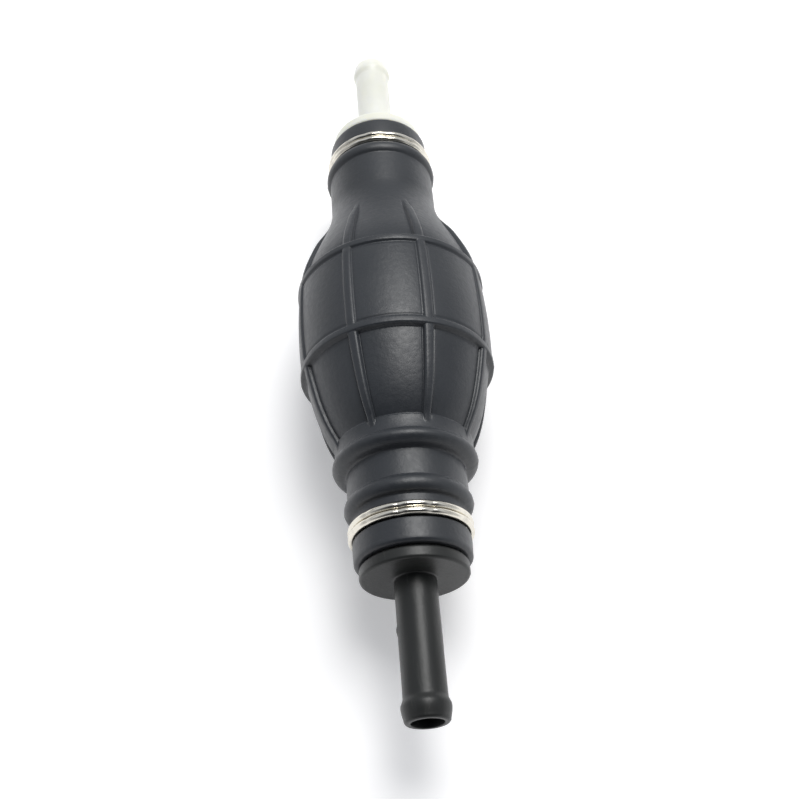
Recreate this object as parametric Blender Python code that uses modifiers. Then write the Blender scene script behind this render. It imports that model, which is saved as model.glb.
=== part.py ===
"""Siphon bulb pump: a ribbed rubber hand bulb with a one-way valve in each end fitting.

The pump lies on its side. World +Y runs along its axis from the black outlet to the white inlet,
+Z is up, and the origin is on the surface below the middle of the bulb. Each sub-part is placed
on the axis of one empty, whose own Z is the pump's axis, so "along" below means towards the inlet.
"""

import math

import bmesh
import bpy
from mathutils import Matrix

MM = 0.001

# Bulb: lengths along the axis are measured from its middle.
INLET_RIM = 54.5 * MM
OUTLET_RIM = 53.15 * MM
BAND_RADIUS = 20.3 * MM
BAND_FALL = 0.35 * MM
RING_CENTRE = 10.3 * MM
RING_HALF_WIDTH = 1.05 * MM
RING_FLAT_HALF = 0.47 * MM
RING_DROP = 0.1 * MM
BAND_SLOPE_LENGTH = 4.3 * MM
PANEL_DROP = 1.4 * MM
PANEL_SHOULDER_SETBACK = 2.7 * MM
PANEL_SHOULDER_DROP = 0.25 * MM
PANEL_SHOULDER_SLOPE = 0.22
PANEL_END_SLOPE = 0.62
PANEL_END_DROP = 0.4 * MM
PANEL_STEP = 0.3 * MM
WALL = 2.6 * MM

RIB_COUNT = 8
RIB_WIDTH = 2.2 * MM
RIB_HEIGHT = 1.0 * MM
BAND_RIB_HEIGHT = 0.55 * MM
RIB_ROOT = 1.0 * MM
RIB_FADE = 3.5 * MM
RIB_TOE = 0.05
RIB_TURN = math.radians(-1.5)
RIB_OVERRUN = 1.2 * MM
INLET_RIB_SETBACK = 7.5 * MM

# Necks: radii step out from the fitting's sleeve, and lengths run back from each rim.
NECK_WALL = 1.95 * MM
NECK_RISE = 0.85 * MM
INLET_NECK_LENGTH = 19.5 * MM
SHOULDER_RISE = 1.95 * MM
SHOULDER_LENGTH = 4.1 * MM
COLLAR_SETBACK = 20.85 * MM
COLLAR_HALF_WIDTH = 2.0 * MM
COLLAR_HEIGHT = 2.6 * MM
BEAD_HALF_WIDTH = 1.85 * MM
BEAD_HEIGHT = 1.65 * MM
OUTLET_LAND = 1.75 * MM
LIP_RISE = 0.35 * MM
LIP_ROUND = 0.3 * MM

# Wire clamps
WIRE_DIAMETER = 1.35 * MM
WIRE_TURNS = 2
WIRE_SPACE = 0.07 * MM
CLAMP_SETBACK = 6.5 * MM
CLAMP_CROSSING = math.radians(50.0)
GROOVE_DEPTH = 0.45 * MM
GROOVE_PLAY = 0.15 * MM

# End fittings
SPIGOT_RADIUS = 4.0 * MM
SPIGOT_WALL = 1.0 * MM
SPIGOT_LENGTH = 26.5 * MM
BARB_HEIGHT = 0.5 * MM
BARB_CREST = 2.9 * MM
BARB_LENGTH = 4.6 * MM
TIP_ROUND = 0.4 * MM
TIP_FLARE = 0.1 * MM
FLANGE_STEP = 1.7 * MM
FLANGE_THICKNESS = 2.55 * MM
FLANGE_ROUND = 0.35 * MM
SLEEVE_LENGTH = 16.0 * MM
SLEEVE_RADIUS = 8.7 * MM
SLEEVE_WALL = 1.8 * MM

# One-way valves: lengths run downstream from the seat's upstream face.
GAP = 0.3 * MM
SEAT_THICKNESS = 2.0 * MM
SEAT_HOLE = 3.0 * MM
SEAL_RADIUS = 4.8 * MM
SEAL_THICKNESS = 1.0 * MM
HEAD_THICKNESS = 1.2 * MM
SEAL_PIN_RADIUS = 1.0 * MM
BUTTON_OVERLAP = 0.3 * MM
BUTTON_THICKNESS = 1.0 * MM
STEM_RADIUS = 1.2 * MM
STEM_PROUD = 0.5 * MM
SPRING_WIRE = 0.5 * MM
SPRING_CLEARANCE = 1.05 * MM
SPRING_LENGTH = 4.6 * MM
SPRING_TURNS = 4
CAGE_THICKNESS = 1.5 * MM
CAGE_HUB_MARGIN = 0.45 * MM
CAGE_RIM_WIDTH = 1.1 * MM
CAGE_SPOKES = 3
SPOKE_WIDTH = 1.6 * MM

# Facets
BULB_SIDES = 48
FITTING_SIDES = 32
VALVE_SIDES = 24
RIB_STEPS = 22
WIRE_STEPS = 28
SPRING_STEPS = 12

# Sizes and places that follow from those above
NECK_BORE = SLEEVE_RADIUS + GAP
LAND_RADIUS = NECK_BORE + NECK_WALL
NECK_RADIUS = LAND_RADIUS + NECK_RISE
LIP_RADIUS = LAND_RADIUS + LIP_RISE
GROOVE_RADIUS = LAND_RADIUS - GROOVE_DEPTH
SHOULDER_RADIUS = NECK_RADIUS + SHOULDER_RISE
PANEL_END_RADIUS = SHOULDER_RADIUS - PANEL_END_DROP

BAND_EDGE_RADIUS = BAND_RADIUS - BAND_FALL
BAND_FLAT_HALF = RING_CENTRE - BAND_SLOPE_LENGTH
RING_RADIUS = BAND_RADIUS - RING_DROP
PANEL_EDGE_RADIUS = BAND_RADIUS - PANEL_DROP
PANEL_SHOULDER = RING_CENTRE + PANEL_SHOULDER_SETBACK
PANEL_SHOULDER_RADIUS = PANEL_EDGE_RADIUS - PANEL_SHOULDER_DROP

COLLAR_CENTRE = OUTLET_RIM - COLLAR_SETBACK
PANEL_END = COLLAR_CENTRE - SHOULDER_LENGTH
SHOULDER_START = PANEL_END + PANEL_STEP
OUTLET_RIB_END = PANEL_END + RIB_OVERRUN
INLET_NECK_START = INLET_RIM - INLET_NECK_LENGTH
INLET_RIB_END = INLET_NECK_START - INLET_RIB_SETBACK

WIRE_PITCH = WIRE_DIAMETER + WIRE_SPACE
WIRE_COIL_RADIUS = GROOVE_RADIUS + GAP + WIRE_DIAMETER / 2
GROOVE_HALF_WIDTH = WIRE_TURNS * WIRE_PITCH / 2 + GROOVE_PLAY
BEAD_SETBACK = CLAMP_SETBACK + GROOVE_HALF_WIDTH + BEAD_HALF_WIDTH
INLET_BEAD = INLET_RIM - BEAD_SETBACK
OUTLET_BEAD = OUTLET_RIM - BEAD_SETBACK - OUTLET_LAND

SPIGOT_BORE = SPIGOT_RADIUS - SPIGOT_WALL
BARB_RADIUS = SPIGOT_RADIUS + BARB_HEIGHT
TIP_RADIUS = SPIGOT_RADIUS + TIP_FLARE
FLANGE_RADIUS = SLEEVE_RADIUS + FLANGE_STEP
SLEEVE_BORE = SLEEVE_RADIUS - SLEEVE_WALL
FITTING_LENGTH = GAP + FLANGE_THICKNESS + SPIGOT_LENGTH

VALVE_RADIUS = SLEEVE_BORE - GAP
HEAD_RADIUS = SEAL_RADIUS
SEAL_BORE = SEAL_PIN_RADIUS + GAP
BUTTON_RADIUS = SEAL_BORE + BUTTON_OVERLAP
STEM_BORE = STEM_RADIUS + GAP
SPRING_RADIUS = STEM_RADIUS + SPRING_CLEARANCE + SPRING_WIRE / 2
CAGE_HUB = SPRING_RADIUS + SPRING_WIRE / 2 + CAGE_HUB_MARGIN
CAGE_RIM = VALVE_RADIUS - CAGE_RIM_WIDTH
SEAL_START = SEAT_THICKNESS + GAP
SEAL_END = SEAL_START + SEAL_THICKNESS
HEAD_START = SEAL_END + GAP
HEAD_END = HEAD_START + HEAD_THICKNESS
SPRING_START = HEAD_END + GAP
CAGE_START = SPRING_START + SPRING_LENGTH + GAP
CAGE_END = CAGE_START + CAGE_THICKNESS
STEM_END = CAGE_END + STEM_PROUD
INLET_VALVE = INLET_RIM
OUTLET_VALVE = CAGE_END - OUTLET_RIM

AXIS_HEIGHT = BAND_RADIUS * math.cos(math.pi / BULB_SIDES)
ORIGIN_SHIFT = (INLET_RIM - OUTLET_RIM) / 2


def clear_scene():
    for obj in list(bpy.data.objects):
        bpy.data.objects.remove(obj, do_unlink=True)


def make_collection(name, hidden=False):
    collection = bpy.data.collections.new(name)
    bpy.context.scene.collection.children.link(collection)
    collection.hide_render = hidden
    return collection


clear_scene()
PARTS = make_collection("siphon_bulb_pump")
CUTTERS = make_collection("cutters", hidden=True)

AXIS = bpy.data.objects.new("pump_axis", None)
AXIS.location = (0, -ORIGIN_SHIFT, AXIS_HEIGHT)
AXIS.rotation_euler = (math.radians(-90), 0, 0)
PARTS.objects.link(AXIS)


def material(name, colour, roughness, metallic=0.0):
    mat = bpy.data.materials.new(name)
    mat.use_nodes = True
    shader = mat.node_tree.nodes["Principled BSDF"]
    shader.inputs["Base Color"].default_value = (*colour, 1)
    shader.inputs["Roughness"].default_value = roughness
    shader.inputs["Metallic"].default_value = metallic
    mat.diffuse_color = (*colour, 1)
    return mat


def place(name, data, mat, collection=PARTS, along=0.0, turn=0.0):
    """Link a new object on the pump's axis."""
    obj = bpy.data.objects.new(name, data)
    obj.parent = AXIS
    obj.location = (0, 0, along)
    obj.rotation_euler = (0, 0, turn)
    if mat:
        data.materials.append(mat)
    collection.objects.link(obj)
    return obj


def smooth_run(start, end, start_slope, end_slope, steps):
    """Points of a cubic between two (radius, along) stations, without the first."""
    r0, a0 = start
    r1, a1 = end
    span = a1 - a0
    points = []
    for i in range(1, steps + 1):
        t = i / steps
        r = (
            (2 * t**3 - 3 * t**2 + 1) * r0
            + (t**3 - 2 * t**2 + t) * span * start_slope
            + (3 * t**2 - 2 * t**3) * r1
            + (t**3 - t**2) * span * end_slope
        )
        points.append((r, a0 + t * span))
    return points


def round_bead(centre, half_width, base, height, steps):
    """Points over a half-round bead, from its inlet side down to its outlet side."""
    points = []
    for i in range(steps + 1):
        angle = math.pi * i / steps
        points.append((base + height * math.sin(angle), centre + half_width * math.cos(angle)))
    return points


def turned(name, profile, sides, mat, along=0.0):
    """Turn a closed (radius, along) outline, whose outer side runs downwards."""
    mesh = bpy.data.meshes.new(name)
    points = [(r, 0, a) for r, a in profile]
    edges = [(i, (i + 1) % len(points)) for i in range(len(points))]
    mesh.from_pydata(points, edges, [])
    obj = place(name, mesh, mat, along=along, turn=math.pi / sides)
    screw = obj.modifiers.new("turn", "SCREW")
    screw.axis = "Z"
    screw.steps = sides
    screw.render_steps = sides
    screw.use_merge_vertices = True
    screw.merge_threshold = 0.00001
    screw.use_smooth_shade = True
    return obj


def solid_from_curve(curve_object):
    """The curve's mesh with its caps welded, in place of the curve."""
    depsgraph = bpy.context.evaluated_depsgraph_get()
    mesh = bpy.data.meshes.new_from_object(curve_object.evaluated_get(depsgraph))
    bm = bmesh.new()
    bm.from_mesh(mesh)
    bmesh.ops.remove_doubles(bm, verts=bm.verts, dist=0.000001)
    bmesh.ops.recalc_face_normals(bm, faces=bm.faces)
    bm.to_mesh(mesh)
    bm.free()
    bpy.data.objects.remove(curve_object)
    return mesh


def flat_outline(name, loops, thickness):
    """A 2D curve filled between closed loops of (x, y) points, centred on its plane."""
    curve = bpy.data.curves.new(name, "CURVE")
    curve.dimensions = "2D"
    curve.fill_mode = "BOTH"
    curve.extrude = thickness / 2
    for loop in loops:
        spline = curve.splines.new("POLY")
        spline.points.add(len(loop) - 1)
        for point, (x, y) in zip(spline.points, loop):
            point.co = (x, y, 0, 1)
        spline.use_cyclic_u = True
    return curve


def wire_coil(name, radius, wire, stations, mat, along, turn=0.0):
    """A wire wound through (angle, height) stations about `along`, its two ends cut square."""
    curve = bpy.data.curves.new(name, "CURVE")
    curve.dimensions = "3D"
    curve.bevel_depth = wire / 2
    curve.bevel_resolution = 2
    curve.use_fill_caps = True
    spline = curve.splines.new("POLY")
    spline.points.add(len(stations) - 1)
    for point, (angle, height) in zip(spline.points, stations):
        point.co = (radius * math.cos(angle), radius * math.sin(angle), height, 1)
    return place(name, curve, mat, along=along, turn=turn)


def ring_arc(side):
    """The ring moulded round the bulb between its band and a row of panels."""
    band = (BAND_EDGE_RADIUS, side * (RING_CENTRE - RING_HALF_WIDTH))
    crest_in = (RING_RADIUS, side * (RING_CENTRE - RING_FLAT_HALF))
    crest_out = (RING_RADIUS, side * (RING_CENTRE + RING_FLAT_HALF))
    panel = (PANEL_EDGE_RADIUS, side * (RING_CENTRE + RING_HALF_WIDTH))
    points = [band, crest_in, crest_out, panel]
    return points[::-1] if side > 0 else points


def rim(side):
    """How far a neck's rim is from the bulb's middle."""
    return INLET_RIM if side > 0 else OUTLET_RIM


def lip(side):
    """The plain end of a neck, from the clamp's groove to the rounded rim."""
    clamp = rim(side) - CLAMP_SETBACK
    points = [
        (GROOVE_RADIUS, side * (clamp - GROOVE_HALF_WIDTH)),
        (GROOVE_RADIUS, side * (clamp + GROOVE_HALF_WIDTH)),
        (LIP_RADIUS, side * (clamp + GROOVE_HALF_WIDTH)),
        (LIP_RADIUS, side * (rim(side) - LIP_ROUND)),
        (LIP_RADIUS - LIP_ROUND, side * rim(side)),
    ]
    return points[::-1] if side > 0 else points


def bulb_outside():
    """The bulb's outer side, from its inlet end down to its outlet end."""
    points = lip(1)
    inlet_bead = round_bead(INLET_BEAD, BEAD_HALF_WIDTH, LAND_RADIUS, BEAD_HEIGHT, 6)
    points += [p for p in inlet_bead if p[0] > NECK_RADIUS or p[1] > INLET_BEAD]
    neck_top = (NECK_RADIUS, INLET_BEAD - BEAD_HALF_WIDTH)
    neck = (NECK_RADIUS, INLET_NECK_START)
    shoulder = (PANEL_SHOULDER_RADIUS, PANEL_SHOULDER)
    points += [neck_top, neck]
    points += smooth_run(neck, shoulder, 0.0, -PANEL_SHOULDER_SLOPE, 9)
    points += ring_arc(1)
    points += [(BAND_RADIUS, BAND_FLAT_HALF), (BAND_RADIUS, -BAND_FLAT_HALF)]
    points += ring_arc(-1)
    shoulder = (PANEL_SHOULDER_RADIUS, -PANEL_SHOULDER)
    panel_end = (PANEL_END_RADIUS, -PANEL_END)
    points += [shoulder]
    points += smooth_run(shoulder, panel_end, PANEL_SHOULDER_SLOPE, PANEL_END_SLOPE, 7)
    points += [(SHOULDER_RADIUS, -SHOULDER_START)]
    collar = round_bead(-COLLAR_CENTRE, COLLAR_HALF_WIDTH, NECK_RADIUS, COLLAR_HEIGHT, 8)
    points += [p for p in collar if p[0] > SHOULDER_RADIUS or p[1] < -COLLAR_CENTRE]
    outlet_bead = round_bead(-OUTLET_BEAD, BEAD_HALF_WIDTH, LAND_RADIUS, BEAD_HEIGHT, 6)
    points += [(NECK_RADIUS, -OUTLET_BEAD + BEAD_HALF_WIDTH)]
    points += [p for p in outlet_bead if p[0] > NECK_RADIUS or p[1] < -OUTLET_BEAD]
    points += [(LAND_RADIUS, -OUTLET_RIM + CLAMP_SETBACK + GROOVE_HALF_WIDTH)]
    points += lip(-1)
    return points


def bulb_inside():
    """The bulb's hollow, from its outlet end up to its inlet end."""
    outlet_neck = (NECK_BORE, SLEEVE_LENGTH - OUTLET_RIM)
    inlet_neck = (NECK_BORE, INLET_RIM - SLEEVE_LENGTH)
    low = (PANEL_SHOULDER_RADIUS - WALL, -PANEL_SHOULDER)
    high = (PANEL_SHOULDER_RADIUS - WALL, PANEL_SHOULDER)
    points = [(NECK_BORE, -OUTLET_RIM), outlet_neck]
    points += smooth_run(outlet_neck, low, 0.0, PANEL_SHOULDER_SLOPE, 5)
    points += [(BAND_RADIUS - WALL, -BAND_FLAT_HALF), (BAND_RADIUS - WALL, BAND_FLAT_HALF), high]
    points += smooth_run(high, inlet_neck, -PANEL_SHOULDER_SLOPE, 0.0, 5)
    points += [(NECK_BORE, INLET_RIM)]
    return points


def surface_radius(along):
    """The radius of the turned surface under the ribs, with the rings left out."""
    outside = sorted((a, r) for r, a in bulb_outside() if abs(r - RING_RADIUS) > 0.01 * MM)
    for (a0, r0), (a1, r1) in zip(outside, outside[1:]):
        if a0 <= along <= a1 and a1 > a0:
            return r0 + (r1 - r0) * (along - a0) / (a1 - a0)
    raise ValueError("no surface at this place")


def rib_height(along):
    """How far a rib stands over the panels: low on the band, and fading out at its ends."""
    end = INLET_RIB_END if along > 0 else OUTLET_RIB_END
    full = BAND_RIB_HEIGHT if abs(along) < RING_CENTRE else RIB_HEIGHT
    return full * min(1.0, (end - abs(along)) / RIB_FADE + RIB_TOE)


def rib_mesh():
    """All the ribs as one mesh of separate bars, each set into the bulb's wall."""
    crest = []
    root = []
    for i in range(RIB_STEPS + 1):
        along = -OUTLET_RIB_END + (OUTLET_RIB_END + INLET_RIB_END) * i / RIB_STEPS
        skin = surface_radius(along)
        crest.append((skin + rib_height(along), along))
        root.append((skin - RIB_ROOT, along))
    bar = bpy.data.objects.new("rib", flat_outline("rib", [crest + root[::-1]], RIB_WIDTH))
    CUTTERS.objects.link(bar)
    bar_mesh = solid_from_curve(bar)
    ribs = bmesh.new()
    for i in range(RIB_COUNT):
        one = bmesh.new()
        one.from_mesh(bar_mesh)
        bmesh.ops.rotate(one, verts=one.verts, matrix=Matrix.Rotation(math.radians(90), 3, "X"))
        turn = RIB_TURN + 2 * math.pi * (i + 0.5) / RIB_COUNT
        bmesh.ops.rotate(one, verts=one.verts, matrix=Matrix.Rotation(turn, 3, "Z"))
        turned_bar = bpy.data.meshes.new("turned_rib")
        one.to_mesh(turned_bar)
        one.free()
        ribs.from_mesh(turned_bar)
        bpy.data.meshes.remove(turned_bar)
    mesh = bpy.data.meshes.new("ribs")
    ribs.to_mesh(mesh)
    ribs.free()
    return mesh


def make_bulb(mat):
    bulb = turned("bulb", bulb_outside() + bulb_inside(), BULB_SIDES, mat)
    ribs = place("ribs", rib_mesh(), None, collection=CUTTERS)
    ribs.hide_render = True
    ribs.display_type = "WIRE"
    join = bulb.modifiers.new("ribs", "BOOLEAN")
    join.operation = "UNION"
    join.solver = "EXACT"
    join.object = ribs


def make_fitting(name, side, mat):
    """Hose spigot, flange and the sleeve that plugs into the neck, turned in one piece."""
    flange_back = rim(side) + GAP
    flange_front = flange_back + FLANGE_THICKNESS
    tip = rim(side) + FITTING_LENGTH
    sleeve_end = flange_back - SLEEVE_LENGTH
    outside = [
        (SPIGOT_BORE, tip),
        (TIP_RADIUS - TIP_ROUND, tip),
        (TIP_RADIUS, tip - TIP_ROUND),
        (BARB_RADIUS, tip - BARB_CREST),
        (SPIGOT_RADIUS, tip - BARB_LENGTH),
        (SPIGOT_RADIUS, flange_front),
        (FLANGE_RADIUS - FLANGE_ROUND, flange_front),
        (FLANGE_RADIUS, flange_front - FLANGE_ROUND),
        (FLANGE_RADIUS, flange_back + FLANGE_ROUND),
        (FLANGE_RADIUS - FLANGE_ROUND, flange_back),
        (SLEEVE_RADIUS, flange_back),
        (SLEEVE_RADIUS, sleeve_end + TIP_ROUND),
        (SLEEVE_RADIUS - TIP_ROUND, sleeve_end),
        (SLEEVE_BORE, sleeve_end),
        (SLEEVE_BORE, flange_back),
        (SPIGOT_BORE, flange_back),
    ]
    if side < 0:
        outside = [(r, -a) for r, a in reversed(outside)]
    turned(name, outside, FITTING_SIDES, mat)


def make_clamp(name, side, mat):
    """Two turns of wire side by side, which cross over on the pump's underside."""
    end = 2 * math.pi * WIRE_TURNS - CLAMP_CROSSING
    count = round(WIRE_TURNS * WIRE_STEPS)
    stations = []
    for i in range(count + 1):
        angle = end * i / count
        crossed = (angle - 2 * math.pi + CLAMP_CROSSING) / CLAMP_CROSSING
        crossed = min(1.0, max(0.0, crossed))
        height = WIRE_PITCH * (crossed * crossed * (3 - 2 * crossed) - 0.5)
        stations.append((angle, height))
    underside = math.radians(90) + CLAMP_CROSSING / 2
    place_at = side * (rim(side) - CLAMP_SETBACK)
    wire_coil(name, WIRE_COIL_RADIUS, WIRE_DIAMETER, stations, mat, place_at, underside)


def downstream(upstream_face, profile):
    """Place an outline that is written downstream from the seat on the pump's axis."""
    return [(r, upstream_face - a) for r, a in profile]


def ring(inner, outer, start, end):
    """The outline of a plain turned ring."""
    return [(outer, start), (outer, end), (inner, end), (inner, start)]


def ring_sector(start, end):
    """The outline of one opening between two spokes of the cage."""
    half_in = math.asin(SPOKE_WIDTH / 2 / CAGE_HUB)
    half_out = math.asin(SPOKE_WIDTH / 2 / CAGE_RIM)
    steps = 6
    points = []
    for i in range(steps + 1):
        angle = start + half_out + (end - start - 2 * half_out) * i / steps
        points.append((CAGE_RIM * math.cos(angle), CAGE_RIM * math.sin(angle)))
    for i in range(steps + 1):
        angle = end - half_in - (end - start - 2 * half_in) * i / steps
        points.append((CAGE_HUB * math.cos(angle), CAGE_HUB * math.sin(angle)))
    return points


def circle(radius, sides):
    angles = [2 * math.pi * i / sides for i in range(sides)]
    return [(radius * math.cos(a), radius * math.sin(a)) for a in angles]


def make_spring(name, upstream_end, mat):
    count = SPRING_TURNS * SPRING_STEPS
    rise = SPRING_LENGTH - SPRING_WIRE
    stations = []
    for i in range(count + 1):
        stations.append((2 * math.pi * i / SPRING_STEPS, rise * (i / count - 0.5)))
    middle = upstream_end - SPRING_LENGTH / 2
    wire_coil(name, SPRING_RADIUS, SPRING_WIRE, stations, mat, middle)


def make_valve(side, upstream_face, mats):
    """Seat, poppet, its seal, its spring and the cage that guides its stem."""
    turned(
        f"{side}_valve_seat",
        downstream(upstream_face, ring(SEAT_HOLE, VALVE_RADIUS, 0, SEAT_THICKNESS)),
        VALVE_SIDES,
        mats["seat"],
    )
    turned(
        f"{side}_poppet_seal",
        ring(SEAL_BORE, SEAL_RADIUS, 0, -SEAL_THICKNESS),
        VALVE_SIDES,
        mats["seal"],
        along=upstream_face - SEAL_START,
    )
    button_end = SEAL_START - GAP
    button_start = button_end - BUTTON_THICKNESS
    poppet = [
        (0, button_start),
        (BUTTON_RADIUS, button_start),
        (BUTTON_RADIUS, button_end),
        (SEAL_PIN_RADIUS, button_end),
        (SEAL_PIN_RADIUS, HEAD_START),
        (HEAD_RADIUS, HEAD_START),
        (HEAD_RADIUS, HEAD_END),
        (STEM_RADIUS, HEAD_END),
        (STEM_RADIUS, STEM_END),
        (0, STEM_END),
    ]
    turned(
        f"{side}_poppet",
        [(r, -(a - HEAD_START)) for r, a in poppet],
        VALVE_SIDES,
        mats["poppet"],
        along=upstream_face - HEAD_START,
    )
    make_spring(f"{side}_valve_spring", upstream_face - SPRING_START, mats["spring"])
    loops = [circle(VALVE_RADIUS, VALVE_SIDES), circle(STEM_BORE, VALVE_SIDES // 2)]
    pitch = 2 * math.pi / CAGE_SPOKES
    loops += [ring_sector(i * pitch, (i + 1) * pitch) for i in range(CAGE_SPOKES)]
    place(
        f"{side}_valve_cage",
        flat_outline(f"{side}_valve_cage", loops, CAGE_THICKNESS),
        mats["cage"],
        along=upstream_face - CAGE_START - CAGE_THICKNESS / 2,
    )


def main():
    rubber = material("bulb_rubber", (0.075, 0.08, 0.088), 0.55)
    black = material("outlet_plastic", (0.045, 0.046, 0.047), 0.5)
    white = material("inlet_plastic", (0.86, 0.87, 0.80), 0.35)
    steel = material("clamp_steel", (0.78, 0.77, 0.74), 0.18, metallic=1.0)
    mats = {
        "seat": material("valve_seat_plastic", (0.82, 0.82, 0.79), 0.4),
        "seal": material("nitrile_seal", (0.03, 0.03, 0.03), 0.6),
        "poppet": material("poppet_plastic", (0.75, 0.76, 0.74), 0.4),
        "spring": material("spring_steel", (0.72, 0.72, 0.72), 0.25, metallic=1.0),
        "cage": material("valve_cage_plastic", (0.82, 0.82, 0.79), 0.4),
    }
    make_bulb(rubber)
    make_fitting("outlet_fitting", -1, black)
    make_fitting("inlet_fitting", 1, white)
    make_clamp("outlet_clamp", -1, steel)
    make_clamp("inlet_clamp", 1, steel)
    make_valve("outlet", OUTLET_VALVE, mats)
    make_valve("inlet", INLET_VALVE, mats)


main()
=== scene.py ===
"""Looks of the siphon bulb pump: fine surfaces, materials, floor, light and camera.

Lengths are in metres. "Along" is a place on the pump's axis, counted from the middle of the bulb
towards the inlet, and a turn is an angle round the axis, counted from the top towards +X.
"""

import math

import bmesh
import bpy
import numpy as np
from mathutils import Matrix, Vector


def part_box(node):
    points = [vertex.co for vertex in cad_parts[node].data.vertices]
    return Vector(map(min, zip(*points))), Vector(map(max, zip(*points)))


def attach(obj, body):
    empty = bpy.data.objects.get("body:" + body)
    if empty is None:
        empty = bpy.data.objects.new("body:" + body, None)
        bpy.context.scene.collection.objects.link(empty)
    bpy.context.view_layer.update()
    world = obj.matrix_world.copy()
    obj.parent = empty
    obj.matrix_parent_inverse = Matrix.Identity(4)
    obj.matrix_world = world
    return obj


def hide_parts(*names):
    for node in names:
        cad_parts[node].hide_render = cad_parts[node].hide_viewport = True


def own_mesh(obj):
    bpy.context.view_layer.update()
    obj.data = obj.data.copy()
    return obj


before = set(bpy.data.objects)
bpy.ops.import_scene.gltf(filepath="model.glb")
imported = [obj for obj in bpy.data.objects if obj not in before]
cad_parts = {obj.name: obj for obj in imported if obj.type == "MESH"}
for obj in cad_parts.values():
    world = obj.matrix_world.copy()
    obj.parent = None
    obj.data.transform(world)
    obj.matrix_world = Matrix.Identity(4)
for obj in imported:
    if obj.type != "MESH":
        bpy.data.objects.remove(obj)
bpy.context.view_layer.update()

MM = 0.001

# The bulb's middle and the pump's axis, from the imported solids
OUTLET_RIM = 53.15 * MM
BULB_LOW, BULB_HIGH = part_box("bulb")
MIDDLE = BULB_LOW.y + OUTLET_RIM
INLET_RIM = BULB_HIGH.y - MIDDLE
AXIS_Z = (BULB_LOW.z + BULB_HIGH.z) / 2
AXIS_X = 0.0

# The bulb. Radii are from the pump's axis, and places are along it, from the bulb's middle
BAND_RADIUS = 20.25 * MM
BAND_EDGE = 9.25 * MM
BAND_EDGE_RADIUS = 19.9 * MM
RING_CENTRE = 10.3 * MM
RING_RADIUS = 20.15 * MM
PANEL_START = 11.3 * MM
RING_INNER_HALF = 0.75 * MM
RING_OUTER_HALF = 1.0 * MM
RING_CROWN = 0.22 * MM
RING_FOOT_GAP = 0.25 * MM
RING_FOOT_DEPTH = 0.16 * MM
RING_FOOT_WIDTH = 0.3 * MM
PANEL_EDGE_RADIUS = 18.95 * MM
PANEL_SHOULDER = 13.0 * MM
PANEL_SHOULDER_RADIUS = 18.65 * MM
PANEL_SHOULDER_SLOPE = 0.22
PANEL_END = 28.2 * MM
PANEL_END_RADIUS = 13.35 * MM
PANEL_END_SLOPE = 0.62
SHOULDER_RADIUS = 13.75 * MM
SHOULDER_WAIST = 29.8 * MM
SHOULDER_FLARE = 0.12 * MM
SHOULDER_FLARE_LENGTH = 1.5 * MM
SHOULDER_LEAD = 0.12 * MM
COLLAR_CENTRE = 32.3 * MM
COLLAR_HALF_WIDTH = 2.0 * MM
COLLAR_RADIUS = 14.45 * MM
NECK_RADIUS = 11.8 * MM
INLET_NECK_START = 35.0 * MM
BEAD_HALF_WIDTH = 1.85 * MM
BEAD_RADIUS = 12.55 * MM
LAND_RADIUS = 10.95 * MM
GROOVE_RADIUS = 10.5 * MM
CLAMP_SETBACK = 6.5 * MM
GROOVE_HALF_WIDTH = 1.55 * MM
CLAMP_HALF_SPACE = 1.57 * MM
OUTLET_BEAD_GAP = 1.75 * MM
OUTLET_BEAD = (
    OUTLET_RIM - CLAMP_SETBACK - CLAMP_HALF_SPACE - BEAD_HALF_WIDTH - OUTLET_BEAD_GAP
)
INLET_BEAD = INLET_RIM - CLAMP_SETBACK - CLAMP_HALF_SPACE - BEAD_HALF_WIDTH
BEAD_ZONE = 30 * MM
LIP_RADIUS = 11.3 * MM
LIP_DROP = 0.08 * MM
LIP_BULGE = 0.10 * MM
OUTLET_LIP_ROUND = 0.9 * MM
INLET_LIP_ROUND = 1.3 * MM
NECK_BORE = 9.0 * MM
SLEEVE_SPACE = 16.5 * MM
WALL = 2.6 * MM
CORNER_SOFTNESS = 0.11 * MM
INNER_SOFTNESS = 2 * MM
BORE_CHAMFER = 0.2 * MM

RIB_COUNT = 8
RIB_TURN = math.radians(-1.5)
RIB_HALF_ANGLE = math.radians(3.3)
RIB_HEIGHT = 0.95 * MM
BAND_RIB_HEIGHT = 0.42 * MM
RIB_CORNER = 1.0 * MM
RIB_FILLET = 0.03 * MM
RIB_GROOVE = 0.08 * MM
RIB_GROOVE_AT = 1.11
RIB_GROOVE_WIDTH = 0.13
RIB_GROOVE_STOP, RIB_GROOVE_FULL = 0.9 * MM, 1.8 * MM
RIB_REACH = 1.36
RIB_BRIDGE = 1.3 * MM
RIB_BLEND = 0.4 * MM
OUTLET_RIB_END = 29.6 * MM
OUTLET_RIB_FADE = 1.7 * MM
INLET_RIB_END = 27.8 * MM
INLET_RIB_FADE = 6.5 * MM

SKIN_WAVE = 0.035 * MM
SEAM_HEIGHT = 0.07 * MM
SEAM_WIDTH = 0.35 * MM
SEAM_END, SEAM_FADE = 52 * MM, 50 * MM
BULB_SEAMS = (math.radians(88), math.radians(-91))


# ---------------------------------------------------------------- helpers


def hermite(t, v0, v1, m0, m1):
    """A cubic from v0 to v1 with end slopes m0 and m1, for t from 0 to 1."""
    return (
        (2 * t**3 - 3 * t**2 + 1) * v0
        + (t**3 - 2 * t**2 + t) * m0
        + (3 * t**2 - 2 * t**3) * v1
        + (t**3 - t**2) * m1
    )


def smoothstep(x, low, high):
    """From 0 at `low` to 1 at `high`, with level ends."""
    t = np.clip((x - low) / (high - low), 0.0, 1.0)
    return t * t * (3 - 2 * t)


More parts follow.
